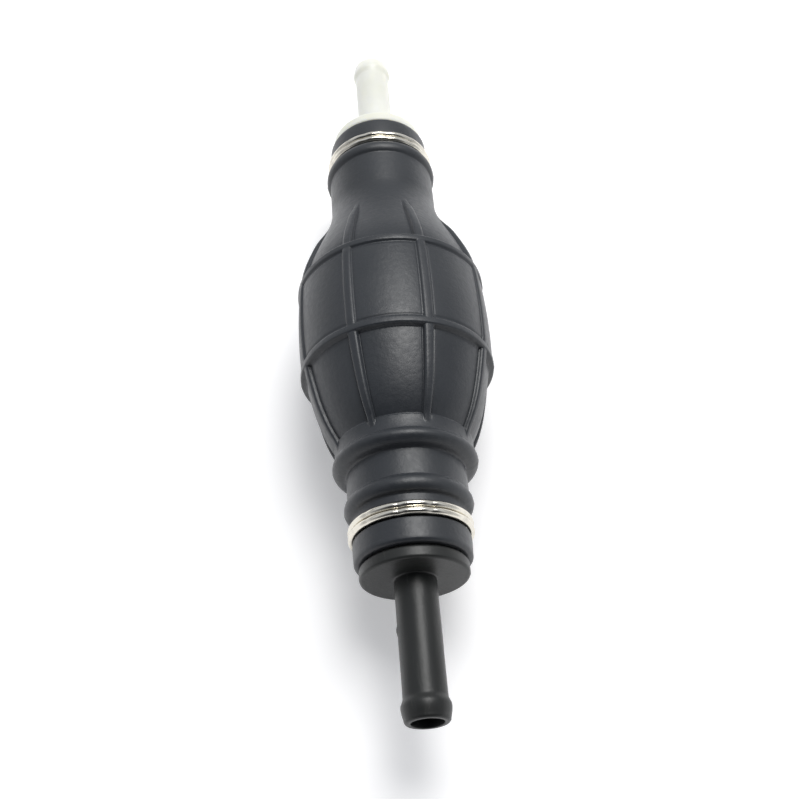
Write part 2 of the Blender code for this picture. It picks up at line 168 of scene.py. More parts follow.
def smooth_max(a, b, soft):
    """The larger of two surfaces, with a fillet of about `soft` where they meet."""
    return 0.5 * (a + b + np.sqrt((a - b) ** 2 + soft**2))


def bead(along, centre, half_width, base, crest):
    """A half-round bead as a radius, and far below the skin away from it."""
    x = (along - centre) / half_width
    inside = np.clip(1 - x * x, 0.0, None)
    return np.where(np.abs(x) < 1, base + (crest - base) * np.sqrt(inside), base - 5 * MM)


def turned_away(turns, turn):
    """The angle from `turn` to each of `turns`, between minus and plus half a turn."""
    return (turns - turn + math.pi) % (2 * math.pi) - math.pi


def grid_object(name, points, closed_rows=True):
    """A quad mesh through points[row][column]; the columns always close, the rows if asked."""
    rows, cols = points.shape[:2]
    verts = points.reshape(-1, 3)
    last = rows if closed_rows else rows - 1
    i = np.arange(last)[:, None]
    j = np.arange(cols)[None, :]
    nxt_i = (i + 1) % rows
    nxt_j = (j + 1) % cols
    corners = [(i, j), (i, nxt_j), (nxt_i, nxt_j), (nxt_i, j)]
    quads = np.stack([(row * cols + col).reshape(-1) for row, col in corners], 1)
    mesh = bpy.data.meshes.new(name)
    mesh.vertices.add(len(verts))
    mesh.vertices.foreach_set("co", verts.astype(np.float32).reshape(-1))
    mesh.loops.add(quads.size)
    mesh.loops.foreach_set("vertex_index", quads.astype(np.int32).reshape(-1))
    mesh.polygons.add(len(quads))
    mesh.polygons.foreach_set("loop_start", np.arange(0, quads.size, 4, dtype=np.int32))
    mesh.update(calc_edges=True)
    u = np.concatenate([np.arange(cols) / cols, [1.0]])
    v = np.concatenate([np.arange(rows) / rows, [1.0]])
    jj = np.broadcast_to(j, (last, cols)).reshape(-1)
    ii = np.broadcast_to(i, (last, cols)).reshape(-1)
    steps = [(0, 0), (1, 0), (1, 1), (0, 1)]
    uv = np.stack([np.stack([u[jj + over], v[ii + up]], 1) for over, up in steps], 1)
    layer = mesh.uv_layers.new(name="UVMap")
    layer.data.foreach_set("uv", uv.astype(np.float32).reshape(-1))
    mesh.shade_smooth()
    obj = bpy.data.objects.new(name, mesh)
    bpy.context.scene.collection.objects.link(obj)
    return obj


def on_axis(radius, along, turn):
    """World places of points given by radius, place along the axis and turn from the top."""
    x = AXIS_X + radius * np.sin(turn)
    y = MIDDLE + along + 0 * turn
    z = AXIS_Z + radius * np.cos(turn)
    return np.stack(np.broadcast_arrays(x, y, z), -1)


def ripple(turn, along, seed, count=9, finest=3 * MM):
    """A smooth surface of small waves, mostly between -1 and 1, the same on each run."""
    rng = np.random.default_rng(seed)
    total = 0.0
    for _ in range(count):
        lobes = rng.integers(1, 9)
        length = finest * rng.uniform(1.0, 9.0)
        phase, drift = rng.uniform(0, 2 * math.pi, 2)
        total = total + np.cos(lobes * turn + phase) * np.cos(2 * math.pi * along / length + drift)
    return total / math.sqrt(count) / 1.5


def give(obj, mat, body, slot, *nodes):
    """Finish a new piece: its material, its body and the CAD nodes it stands for, which are
    hidden; the slot is not used.
    """
    obj.data.materials.clear()
    obj.data.materials.append(mat)
    if nodes:
        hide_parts(*nodes)
    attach(obj, body)
    return obj


# ---------------------------------------------------------------- materials


class Nodes:
    """Short calls for building one node material."""

    def __init__(self, name):
        self.mat = bpy.data.materials.new(name)
        self.mat.use_nodes = True
        self.tree = self.mat.node_tree
        self.shader = self.tree.nodes["Principled BSDF"]
        self.place = self.tree.nodes.new("ShaderNodeTexCoord").outputs["Object"]

    def new(self, kind, **settings):
        node = self.tree.nodes.new(kind)
        for key, value in settings.items():
            setattr(node, key, value)
        return node

    def link(self, source, target):
        self.tree.links.new(source, target)

    def stretched(self, scale):
        """The object's own coordinates, scaled by axis."""
        node = self.new("ShaderNodeMapping")
        node.inputs["Scale"].default_value = scale
        self.link(self.place, node.inputs["Vector"])
        return node.outputs["Vector"]

    def noise(self, scale, detail=4.0, rough=0.55, vector=None, distortion=0.0):
        node = self.new("ShaderNodeTexNoise")
        node.inputs["Scale"].default_value = scale
        node.inputs["Detail"].default_value = detail
        node.inputs["Roughness"].default_value = rough
        node.inputs["Distortion"].default_value = distortion
        self.link(vector or self.place, node.inputs["Vector"])
        return node.outputs["Fac"]

    def ramp(self, source, stops):
        """A colour between two stops, each a position and a colour."""
        node = self.new("ShaderNodeValToRGB")
        for element, (at, colour) in zip(node.color_ramp.elements, stops):
            element.position = at
            element.color = (*colour, 1)
        self.link(source, node.inputs["Fac"])
        return node.outputs["Color"]

    def span(self, source, low, high, to_low, to_high):
        """A value from the range low..high moved into to_low..to_high, and clamped."""
        node = self.new("ShaderNodeMapRange")
        node.inputs["From Min"].default_value = low
        node.inputs["From Max"].default_value = high
        node.inputs["To Min"].default_value = to_low
        node.inputs["To Max"].default_value = to_high
        self.link(source, node.inputs["Value"])
        return node.outputs["Result"]

    def mix(self, fac, a, b, blend="MIX"):
        node = self.new("ShaderNodeMix", data_type="RGBA", blend_type=blend)
        for socket, value in ((node.inputs[0], fac), (node.inputs[6], a), (node.inputs[7], b)):
            if hasattr(value, "is_linked"):
                self.link(value, socket)
            elif isinstance(value, tuple):
                socket.default_value = (*value, 1)
            else:
                socket.default_value = value
        return node.outputs[2]

    def math(self, operation, a, b):
        node = self.new("ShaderNodeMath", operation=operation)
        for socket, value in zip(node.inputs, (a, b)):
            if hasattr(value, "is_linked"):
                self.link(value, socket)
            else:
                socket.default_value = value
        return node.outputs[0]

    def bump(self, layers):
        """Chain of bumps from (height, distance) pairs, the coarse one first."""
        normal = None
        for height, distance in layers:
            node = self.new("ShaderNodeBump")
            node.inputs["Strength"].default_value = 1.0
            node.inputs["Distance"].default_value = distance
            self.link(height, node.inputs["Height"])
            if normal:
                self.link(normal, node.inputs["Normal"])
            normal = node.outputs["Normal"]
        self.link(normal, self.shader.inputs["Normal"])

    def set(self, **values):
        for key, value in values.items():
            self.shader.inputs[key.replace("_", " ")].default_value = value


def rubber():
    """Moulded bulb rubber: near black grey with bloom, rubbed patches and a fine mould grain; the
    base colour's blue cast is a painted sky reflection.
    """
    n = Nodes("bulb_rubber")
    broad = n.noise(55, 3)
    fine = n.noise(900, 3)
    dust = n.noise(2600, 2, 0.7)
    # The blue cast of these two grey stops is painted sky reflection, not the rubber's own colour.
    base = n.ramp(broad, [(0.30, (0.0140, 0.0168, 0.0215)), (0.70, (0.0215, 0.025, 0.0305))])
    bloom = n.span(n.noise(24, 5, 0.6), 0.45, 0.75, 0.0, 0.35)
    base = n.mix(bloom, base, (0.036, 0.037, 0.038))
    specks = n.span(dust, 0.66, 0.78, 0.0, 0.35)
    base = n.mix(specks, base, (0.07, 0.07, 0.068))
    n.link(base, n.shader.inputs["Base Color"])
    rough = n.math("ADD", n.span(broad, 0.3, 0.7, 0.37, 0.45), n.span(fine, 0.3, 0.7, -0.04, 0.05))
    n.link(rough, n.shader.inputs["Roughness"])
    n.set(Specular_IOR_Level=0.5, Sheen_Weight=0.06, Sheen_Roughness=0.5)
    n.bump([(broad, 0.00008), (fine, 0.00005), (dust, 0.000015)])
    return n.mat


def black_plastic():
    """Satin black plastic with faint flow marks and handling scuffs."""
    n = Nodes("outlet_plastic")
    flow = n.noise(120, 3, 0.6, n.stretched((1, 0.2, 1)))
    grain = n.noise(3200, 3, 0.65)
    scuffs = n.noise(300, 4, 0.7, n.stretched((3, 0.3, 3)), 0.4)
    base = n.ramp(flow, [(0.3, (0.011, 0.012, 0.0115)), (0.7, (0.019, 0.020, 0.019))])
    scuffed = n.span(scuffs, 0.60, 0.72, 0.0, 0.4)
    base = n.mix(scuffed, base, (0.05, 0.05, 0.047))
    n.link(base, n.shader.inputs["Base Color"])
    rough = n.math("ADD", n.span(grain, 0.3, 0.7, 0.34, 0.44), n.math("MULTIPLY", scuffed, 0.25))
    n.link(rough, n.shader.inputs["Roughness"])
    n.set(Specular_IOR_Level=0.38)
    n.bump([(flow, 0.00004), (grain, 0.00002)])
    return n.mat


def white_nylon():
    """Natural nylon: milky, slightly yellow-green, with soft mould grain."""
    n = Nodes("inlet_plastic")
    cloud = n.noise(90, 3)
    grain = n.noise(1400, 3)
    base = n.ramp(cloud, [(0.3, (0.79, 0.79, 0.69)), (0.7, (0.87, 0.87, 0.79))])
    n.link(base, n.shader.inputs["Base Color"])
    n.link(n.span(grain, 0.3, 0.7, 0.28, 0.40), n.shader.inputs["Roughness"])
    n.set(Subsurface_Weight=0.45, Subsurface_Scale=0.003, Subsurface_Radius=(1.0, 0.95, 0.7))
    n.bump([(cloud, 0.00004), (grain, 0.00001)])
    return n.mat


def drawn_steel(name, tint=(0.76, 0.725, 0.64), low=0.15, high=0.23):
    """Bright plated wire with drawing marks along it and a few dull patches."""
    n = Nodes(name)
    along_wire = n.new("ShaderNodeMapping")
    along_wire.inputs["Scale"].default_value = (9.0, 4.0, 1.0)
    n.link(n.new("ShaderNodeTexCoord").outputs["UV"], along_wire.inputs["Vector"])
    streaks = n.noise(3.0, 3, 0.6, along_wire.outputs["Vector"])
    patch = n.noise(260, 4, 0.6)
    dull = n.span(patch, 0.50, 0.70, 0.0, 1.0)
    base = n.mix(dull, tint, tuple(0.78 * c for c in tint))
    n.link(base, n.shader.inputs["Base Color"])
    rough = n.math("ADD", n.span(streaks, 0.3, 0.7, low, high), n.math("MULTIPLY", dull, 0.08))
    n.link(rough, n.shader.inputs["Roughness"])
    n.set(Metallic=1.0)
    n.bump([(patch, 0.00001), (streaks, 0.000012)])
    return n.mat


def valve_plastic():
    """Natural acetal of the seats, poppets and cages."""
    n = Nodes("valve_plastic")
    cloud = n.noise(150, 3)
    grain = n.noise(1800, 3)
    base = n.ramp(cloud, [(0.3, (0.72, 0.72, 0.68)), (0.7, (0.80, 0.80, 0.77))])
    n.link(base, n.shader.inputs["Base Color"])
    n.link(n.span(grain, 0.3, 0.7, 0.30, 0.44), n.shader.inputs["Roughness"])
    n.set(Subsurface_Weight=0.15, Subsurface_Scale=0.002)
    n.bump([(cloud, 0.00003), (grain, 0.00001)])
    return n.mat


def seal_rubber():
    """Plain dark nitrile."""
    n = Nodes("nitrile_seal")
    cloud = n.noise(300, 3)
    grain = n.noise(2400, 3)
    base = n.ramp(cloud, [(0.3, (0.018, 0.018, 0.018)), (0.7, (0.034, 0.034, 0.035))])
    n.link(base, n.shader.inputs["Base Color"])
    n.link(n.span(grain, 0.3, 0.7, 0.50, 0.66), n.shader.inputs["Roughness"])
    n.bump([(cloud, 0.00003), (grain, 0.00002)])
    return n.mat


# ---------------------------------------------------------------- the bulb's skin


def panel_radius(along):
    """The turned skin without its ribs: band, rings, cones, shoulder, necks and beads."""
    a = np.asarray(along, float)
    size = np.abs(a)
    band_fall = (BAND_RADIUS - BAND_EDGE_RADIUS) / BAND_EDGE**2
    radius = BAND_RADIUS - band_fall * a**2

    span = PANEL_END - PANEL_SHOULDER
    t = (size - PANEL_SHOULDER) / span
    outlet_cone = hermite(
        np.clip(t, 0, 1),
        PANEL_SHOULDER_RADIUS,
        PANEL_END_RADIUS,
        -PANEL_SHOULDER_SLOPE * span,
        -PANEL_END_SLOPE * span,
    )
    span = INLET_NECK_START - PANEL_SHOULDER
    t = (size - PANEL_SHOULDER) / span
    inlet_cone = hermite(
        np.clip(t, 0, 1), PANEL_SHOULDER_RADIUS, NECK_RADIUS, -PANEL_SHOULDER_SLOPE * span, 0.0
    )
    rise = (PANEL_EDGE_RADIUS - PANEL_SHOULDER_RADIUS) / (PANEL_SHOULDER - PANEL_START)
    edge = np.clip(PANEL_SHOULDER - size, 0, None) * rise
    cone = np.where(a < 0, outlet_cone, inlet_cone) + edge
    radius = np.where(size > RING_CENTRE, cone, radius)

    from_crest = size - RING_CENTRE
    half = np.where(from_crest < 0, RING_INNER_HALF, RING_OUTER_HALF)
    x = np.abs(from_crest) / half
    ring = RING_RADIUS - RING_CROWN * np.clip(x, 0, 1) ** 4
    radius = np.where(x < 1, np.maximum(radius, ring), radius)
    foot = RING_CENTRE - RING_INNER_HALF - RING_FOOT_GAP
    radius = radius - RING_FOOT_DEPTH * np.exp(-(((size - foot) / RING_FOOT_WIDTH) ** 2))

    flare = ((size - SHOULDER_WAIST) / SHOULDER_FLARE_LENGTH) ** 2
    shoulder = SHOULDER_RADIUS + SHOULDER_FLARE * flare
    radius = np.where((a < 0) & (size > PANEL_END - SHOULDER_LEAD), shoulder, radius)
    collar = bead(size, COLLAR_CENTRE, COLLAR_HALF_WIDTH, NECK_RADIUS, COLLAR_RADIUS)
    past = (a < 0) & (size > COLLAR_CENTRE - COLLAR_HALF_WIDTH * 0.55)
    radius = np.where(past, np.maximum(NECK_RADIUS, collar), radius)

    for side, centre, rim in ((-1, OUTLET_BEAD, OUTLET_RIM), (1, INLET_BEAD, INLET_RIM)):
        here = (a * side > 0) & (size > centre)
        land = np.where(here, LAND_RADIUS, radius)
        one = bead(size, centre, BEAD_HALF_WIDTH, LAND_RADIUS, BEAD_RADIUS)
        radius = np.where(a * side > BEAD_ZONE, np.maximum(land, one), radius)
        clamp = rim - CLAMP_SETBACK
        lip_part = (a * side > 0) & (size > clamp + GROOVE_HALF_WIDTH)
        bulge = LIP_BULGE * np.sin(np.clip((size - clamp) / (rim - clamp), 0, 1) * math.pi)
        radius = np.where(lip_part, LIP_RADIUS - LIP_DROP + bulge, radius)
        groove = (a * side > 0) & (np.abs(size - clamp) < GROOVE_HALF_WIDTH)
        radius = np.where(groove, GROOVE_RADIUS, radius)
    return radius


def soften(values, step, width):
    """Round the corners of an evenly sampled outline, as moulded rubber has them."""
    reach = max(1, int(round(3 * width / step)))
    offsets = np.arange(-reach, reach + 1) * step
    weights = np.exp(-0.5 * (offsets / width) ** 2)
    weights /= weights.sum()
    padded = np.concatenate([np.full(reach, values[0]), values, np.full(reach, values[-1])])
    return np.convolve(padded, weights, mode="valid")


def rib_height(along):
    """How far the ribs stand over the panels beside them, from end to end."""
    size = np.abs(along)
    height = np.where(size < RING_CENTRE, BAND_RIB_HEIGHT, RIB_HEIGHT)
    outlet_fade = smoothstep(size, OUTLET_RIB_END, OUTLET_RIB_END - OUTLET_RIB_FADE)
    inlet_fade = smoothstep(size, INLET_RIB_END, INLET_RIB_END - INLET_RIB_FADE)
    return height * np.where(along < 0, outlet_fade, inlet_fade)


def rib_line(samples, sharp, step):
    """The ribs' crest as a radius, straight through the rings and down to the outlet shoulder."""
    crest = sharp + rib_height(samples)
    ending = (samples < -(PANEL_END - RIB_BLEND)) & (samples > -OUTLET_RIB_END)
    clear = (np.abs(np.abs(samples) - RING_CENTRE) > RIB_BRIDGE) & ~ending
    crest = np.interp(samples, samples[clear], crest[clear])
    return soften(crest, step, RIB_BLEND)


def rib_turns():
    """The turn of each rib's middle."""
    return [RIB_TURN + 2 * math.pi * (i + 0.5) / RIB_COUNT for i in range(RIB_COUNT)]


def skin_turns():
    """Turns of the mesh columns: dense over each rib's sides, even over the panels."""
    turns = []
    side = np.linspace(0.78, RIB_REACH, 14)
    across = np.concatenate([-side[::-1], np.linspace(-0.7, 0.7, 9), side]) * RIB_HALF_ANGLE
    pitch = 2 * math.pi / RIB_COUNT
    foot = RIB_REACH * RIB_HALF_ANGLE
    gap = np.linspace(foot, pitch - foot, 20)[1:-1]
    for centre in rib_turns():
        turns += list(centre + across) + list(centre + gap)
    return np.array(turns)


def lip_corner(size, rim):
    """Points round a rim's outer corner."""
    angles = np.linspace(0, math.pi / 2, 8)[1:]
    return [
        (LIP_RADIUS - size + size * math.cos(t), rim - size + size * math.sin(t)) for t in angles
    ]


def skin_rows(samples, skin):
    """Places of the mesh rows: close where the outline bends, wide where it runs straight."""
    bend = np.abs(np.gradient(np.arctan(np.gradient(skin, samples)), samples))
    need = 2.2 + np.clip(soften(bend, samples[1] - samples[0], 0.15 * MM) * 0.009, 0, 7)
    count = np.concatenate([[0], np.cumsum((need[1:] + need[:-1]) / 2 * np.diff(samples) / MM)])
    return np.interp(np.linspace(0, count[-1], int(count[-1]) + 1), count, samples)


def add_ribs(radius, rows, turns, crest):
    """The skin's radius with the ribs on it, and a fine groove along each rib's foot."""
    off_ring = np.abs(np.abs(rows) - RING_CENTRE)
    foot_fade = np.clip(rib_height(rows) / RIB_HEIGHT * 1.6, 0, 1)
    foot_fade = foot_fade * smoothstep(off_ring, RIB_GROOVE_STOP, RIB_GROOVE_FULL)
    tall = rib_height(rows)[:, None] > 0.01 * MM
    for centre in rib_turns():
        x = np.abs(turned_away(turns, centre)) / RIB_HALF_ANGLE
        groove = RIB_GROOVE * np.exp(-(((x - RIB_GROOVE_AT) / RIB_GROOVE_WIDTH) ** 2))
        radius = radius - groove[None, :] * foot_fade[:, None]
        x = np.clip(x, 0, 1)
        dome = np.sqrt(np.clip(1 - x**4, 0, None))
        on_rib = (x < 1)[None, :]
        rib = (crest - RIB_CORNER)[:, None] + RIB_CORNER * dome[None, :]
        rib = np.where(on_rib, rib, radius - RIB_CORNER)
        radius = np.where(tall & on_rib, smooth_max(radius, rib, RIB_FILLET), radius)
    return radius


def inner_wall(samples, sharp, step):
    """The bulb's inside as (radius, along) points, from the inlet rim to the outlet rim."""
    line = soften(sharp, step, INNER_SOFTNESS)
    points = [(NECK_BORE + BORE_CHAMFER, INLET_RIM), (NECK_BORE, INLET_RIM - BORE_CHAMFER)]
    for a in np.linspace(INLET_RIM - 1 * MM, -OUTLET_RIM + 1 * MM, 60):
        wall = max(NECK_BORE, float(np.interp(a, samples, line)) - WALL)
        in_sleeve = min(INLET_RIM - a, a + OUTLET_RIM) < SLEEVE_SPACE
        points.append((NECK_BORE if in_sleeve else wall, a))
    points += [(NECK_BORE, -OUTLET_RIM + BORE_CHAMFER), (NECK_BORE + BORE_CHAMFER, -OUTLET_RIM)]
    return points


def make_bulb(mat):
    """The rubber bulb: one closed skin, ribbed outside and hollow inside."""
    step = 0.05 * MM
    samples = np.arange(-OUTLET_RIM, INLET_RIM + step / 2, step)
    sharp = panel_radius(samples)
    soft = soften(sharp, step, CORNER_SOFTNESS)
    rows = skin_rows(samples, soft)
    skin = np.interp(rows, samples, soft)
    turns = skin_turns()
    along = rows[:, None]
    crest = np.interp(rows, samples, rib_line(samples, sharp, step))
    radius = add_ribs(np.repeat(skin[:, None], len(turns), 1), rows, turns, crest)
    radius = radius + SKIN_WAVE * ripple(turns[None, :], along, seed=3, finest=7 * MM)
    for seam in BULB_SEAMS:
        away = turned_away(turns, seam)
        line = np.exp(-((away[None, :] * radius / SEAM_WIDTH) ** 2))
        radius = radius + SEAM_HEIGHT * line * smoothstep(np.abs(along), SEAM_END, SEAM_FADE)
    square = np.maximum(np.abs(np.sin(turns)), np.abs(np.cos(turns)))
    radius = np.minimum(radius, (BAND_RADIUS / square)[None, :])
    outer = on_axis(radius, along + 0 * radius, turns[None, :])

    def ring_rows(profile):
        r = np.array([p[0] for p in profile])[:, None]
        a = np.array([p[1] for p in profile])[:, None]
        return on_axis(r + 0 * turns[None, :], a + 0 * turns[None, :], turns[None, :])

    inlet_rim = lip_corner(INLET_LIP_ROUND, INLET_RIM)
    outlet_rim = [(r, -a) for r, a in lip_corner(OUTLET_LIP_ROUND, OUTLET_RIM)][::-1]
    keep = (rows > -OUTLET_RIM + OUTLET_LIP_ROUND) & (rows < INLET_RIM - INLET_LIP_ROUND)
    inner = inner_wall(samples, sharp, step)
    points = [ring_rows(outlet_rim), outer[keep], ring_rows(inlet_rim), ring_rows(inner)]
    obj = grid_object("bulb_skin", np.concatenate(points))
    return give(obj, mat, "root", "bulb_rubber", "bulb")


# ---------------------------------------------------------------- fittings


def arc(centre_r, centre_a, size, start, end, steps=6):
    """Points of an arc in the (radius, along) plane; angle 0 is outward, 90 is along."""
    angles = [start + (end - start) * i / steps for i in range(steps + 1)]
    return [
        (centre_r + size * math.cos(math.radians(t)), centre_a + size * math.sin(math.radians(t)))
        for t in angles
    ]


FLANGE_RADIUS = 10.4 * MM
FLANGE_THICKNESS = 2.55 * MM
GAP = 0.3 * MM
SPIGOT_RADIUS = 4.0 * MM
SPIGOT_BORE = 3.0 * MM
BARB_RADIUS = 4.5 * MM
BARB_CREST = 2.9 * MM
BARB_LENGTH = 4.6 * MM
TIP_RADIUS = 4.1 * MM
TIP_ROUND = 0.55 * MM
BARB_START = 0.5 * MM
FLANGE_ROUND = 0.6 * MM
ROOT_FILLET = 0.3 * MM
SLEEVE_RADIUS = 8.7 * MM
SLEEVE_BORE = 6.9 * MM
SLEEVE_LENGTH = 16.0 * MM
EDGE = 0.1 * MM
SLEEVE_LEAD = 0.4 * MM
SLEEVE_LEAD_LENGTH = 0.5 * MM

FITTING_TURNS = 128
FITTING_WAVE = 0.02 * MM
FITTING_SEAMS = (math.radians(92), math.radians(-88))
FITTING_SEAM_HEIGHT = 0.05 * MM
FITTING_SEAM_WIDTH = 0.22 * MM
NUB_TURN = math.radians(-84)
NUB_SETBACK = 16.9 * MM
NUB_HALF_ANGLE = math.radians(11)
NUB_HALF_LENGTH = 0.75 * MM
NUB_HEIGHT = 0.22 * MM


def fitting_profile(rim, tip):
    """A fitting's closed outline, from the spigot's mouth over the outside and back."""
    back = rim + GAP
    front = back + FLANGE_THICKNESS
    end = back - SLEEVE_LENGTH
    mouth = BORE_CHAMFER
    points = arc(SPIGOT_BORE + mouth, tip - mouth, mouth, 180, 90, 4)
    points += arc(TIP_RADIUS - TIP_ROUND, tip - TIP_ROUND, TIP_ROUND, 90, 12, 6)
    for i in range(1, 15):
        t = i / 14
        rise = math.sin(t * math.pi / 2) ** 1.2
        a = tip - BARB_START - (BARB_CREST - BARB_START) * t
        points.append((TIP_RADIUS + (BARB_RADIUS - TIP_RADIUS) * rise, a))
    for i in range(1, 11):
        t = i / 10
        fall = (1 + math.cos(t * math.pi)) / 2
        a = tip - BARB_CREST - (BARB_LENGTH - BARB_CREST) * t
        points.append((SPIGOT_RADIUS + (BARB_RADIUS - SPIGOT_RADIUS) * fall, a))
    length = tip - BARB_LENGTH - front - 0.35 * MM
    for i in range(1, 49):
        points.append((SPIGOT_RADIUS, tip - BARB_LENGTH - length * i / 48))
    points += arc(SPIGOT_RADIUS + ROOT_FILLET, front + ROOT_FILLET, ROOT_FILLET, 180, 270, 6)
    for t in (0.3, 0.5, 0.7, 0.85):
        points.append((SPIGOT_RADIUS + (FLANGE_RADIUS - SPIGOT_RADIUS) * t, front))
    rim_centre = FLANGE_RADIUS - FLANGE_ROUND
    points += arc(rim_centre, front - FLANGE_ROUND, FLANGE_ROUND, 90, 0, 8)
    points += [(FLANGE_RADIUS, (front + back) / 2 + k * 0.3 * MM) for k in (1, 0, -1)]
    points += arc(rim_centre, back + FLANGE_ROUND, FLANGE_ROUND, 0, -90, 8)
    points += [(SLEEVE_RADIUS + EDGE, back), (SLEEVE_RADIUS, back - EDGE)]
    points += [(SLEEVE_RADIUS, end + SLEEVE_LEAD_LENGTH), (SLEEVE_RADIUS - SLEEVE_LEAD, end)]
    points += [(SLEEVE_BORE + BORE_CHAMFER, end), (SLEEVE_BORE, end + BORE_CHAMFER)]
    points += [(SLEEVE_BORE, back - EDGE), (SLEEVE_BORE - EDGE, back)]
    points += [(SPIGOT_BORE + mouth, back), (SPIGOT_BORE, back + mouth)]
    for i in range(1, 12):
        points.append((SPIGOT_BORE, back + (tip - back - 2 * mouth) * i / 12))
    return points


def make_fitting(name, node, side, mat, slot):
    """A fitting at the outlet (side -1) or the inlet (side 1), with its mould lines."""
    low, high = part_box(node)
    tip = high.y - MIDDLE if side > 0 else MIDDLE - low.y
    rim = INLET_RIM if side > 0 else OUTLET_RIM
    profile = fitting_profile(rim, tip)
    turns = np.linspace(0, 2 * math.pi, FITTING_TURNS, endpoint=False)
    r = np.array([p[0] for p in profile])[:, None]
    a = np.array([p[1] for p in profile])[:, None]
    outside = r > SPIGOT_RADIUS - 0.05 * MM
    radius = r + 0 * turns[None, :]
    wave = ripple(turns[None, :], a, seed=11 + side)
    radius = radius + np.where(outside, FITTING_WAVE, 0) * wave
    for seam in FITTING_SEAMS:
        away = turned_away(turns, seam)
        line = np.exp(-((away[None, :] * r / FITTING_SEAM_WIDTH) ** 2))
        radius = radius + np.where(outside, FITTING_SEAM_HEIGHT, 0) * line
    if side < 0:
        across = turned_away(turns, NUB_TURN)[None, :] / NUB_HALF_ANGLE
        nub = np.exp(-(across**2) - ((a - (tip - NUB_SETBACK)) / NUB_HALF_LENGTH) ** 4)
        on_spigot = outside & (r < 5 * MM)
        radius = radius + np.where(on_spigot, NUB_HEIGHT, 0) * nub
    points = on_axis(radius, side * a + 0 * radius, turns[None, :])
    if side > 0:
        points = points[::-1]
    obj = grid_object(name, points)
    return give(obj, mat, "root", slot, node)


# ---------------------------------------------------------------- clamps and springs


WIRE_RADIUS = 0.675 * MM
WIRE_PITCH = 1.42 * MM
CLAMP_RADIUS = GROOVE_RADIUS + GAP + WIRE_RADIUS
CLAMP_CROSSING = math.radians(50)
CLAMP_WAVE = 0.03 * MM
KINK_HALF_ANGLE = math.radians(4.5)
WIRE_SIDES = 20
WIRE_END_SIZES = np.array([0.02, 0.6, 0.85, 0.97])

SPRING_WIRE_RADIUS = 0.25 * MM
SPRING_TURNS = 4
SPRING_PITCH = ([0, 0.17, 0.83, 1], [0, 0.125, 0.875, 1])


def make_clamp(name, node, side, mat, kinks):
    """Two turns of wire that cross underneath, with kinks given as (turn in degrees, depth)."""
    rim = INLET_RIM if side > 0 else OUTLET_RIM
    middle = side * (rim - CLAMP_SETBACK)
    end = 4 * math.pi - CLAMP_CROSSING
    t = np.linspace(0, end, 640)
    crossed = smoothstep(t - 2 * math.pi + CLAMP_CROSSING, 0, CLAMP_CROSSING)
    turn = -(t + CLAMP_CROSSING / 2 + math.pi)
    along = middle + WIRE_PITCH * (crossed - 0.5)
    radius = CLAMP_RADIUS + CLAMP_WAVE * np.cos(7 * turn + side)
    for at, depth in kinks:
        away = turned_away(turn, math.radians(at))
        radius = radius - depth * np.exp(-((away / KINK_HALF_ANGLE) ** 2))
    obj = wire_tube(name, on_axis(radius, along, turn), WIRE_RADIUS)
    return give(obj, mat, "root", "clamp_steel", node)


def make_spring(end, mat):
    """A valve spring with closed ends, built once at the length of its CAD part; nothing here
    shortens it as its poppet opens.
    """
    node = f"{end}_valve_spring"
    low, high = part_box(node)
    coil_radius = (high.x - low.x) / 2 - SPRING_WIRE_RADIUS
    t = np.linspace(0, 1, 480)
    share = np.interp(t, *SPRING_PITCH)
    reach = 12
    window = np.full(2 * reach + 1, 1 / (2 * reach + 1))
    share = np.convolve(np.pad(share, reach, mode="edge"), window, mode="valid")
    length = high.y - low.y - 2 * SPRING_WIRE_RADIUS
    along = low.y + SPRING_WIRE_RADIUS + length * share - MIDDLE
    centre = on_axis(coil_radius + 0 * t, along, 2 * math.pi * SPRING_TURNS * t)
    obj = wire_tube(f"{end}_spring_coil", centre, SPRING_WIRE_RADIUS)
    give(obj, mat, "root", "spring_steel", node)
    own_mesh(obj)


def wire_tube(name, centre, wire_radius):
    """Round wire along a path, with rounded ends."""
    tangent = np.gradient(centre, axis=0)
    tangent /= np.linalg.norm(tangent, axis=1)[:, None]
    outward = centre - np.array([AXIS_X, 0, AXIS_Z])
    outward[:, 1] = 0
    outward /= np.linalg.norm(outward, axis=1)[:, None]
    outward -= tangent * (outward * tangent).sum(1)[:, None]
    outward /= np.linalg.norm(outward, axis=1)[:, None]
    sideways = np.cross(tangent, outward)
    around = np.linspace(0, 2 * math.pi, WIRE_SIDES, endpoint=False)
    sizes = np.full(len(centre), wire_radius)
    sizes[:4] *= WIRE_END_SIZES
    sizes[-4:] *= WIRE_END_SIZES[::-1]
    ring = outward[:, None, :] * np.cos(around)[None, :, None]
    ring = ring + sideways[:, None, :] * np.sin(around)[None, :, None]
    obj = grid_object(name, centre[:, None, :] + ring * sizes[:, None, None], closed_rows=False)
    close_ends(obj)
    return obj


def close_ends(obj):
    """Fill the two open ends of a tube."""
    bm = bmesh.new()
    bm.from_mesh(obj.data)
    open_edges = [e for e in bm.edges if e.is_boundary]
    bmesh.ops.holes_fill(bm, edges=open_edges, sides=0)
    bmesh.ops.recalc_face_normals(bm, faces=bm.faces)
    for face in bm.faces:
        face.smooth = True
    bm.to_mesh(obj.data)
    bm.free()


# ---------------------------------------------------------------- stage


FLOOR_HALF = 20.0
FLOOR_GLOW = (0.27, 0.335)
FLOOR_GLOW_FROM, FLOOR_GLOW_TO = 0.5, 3.0


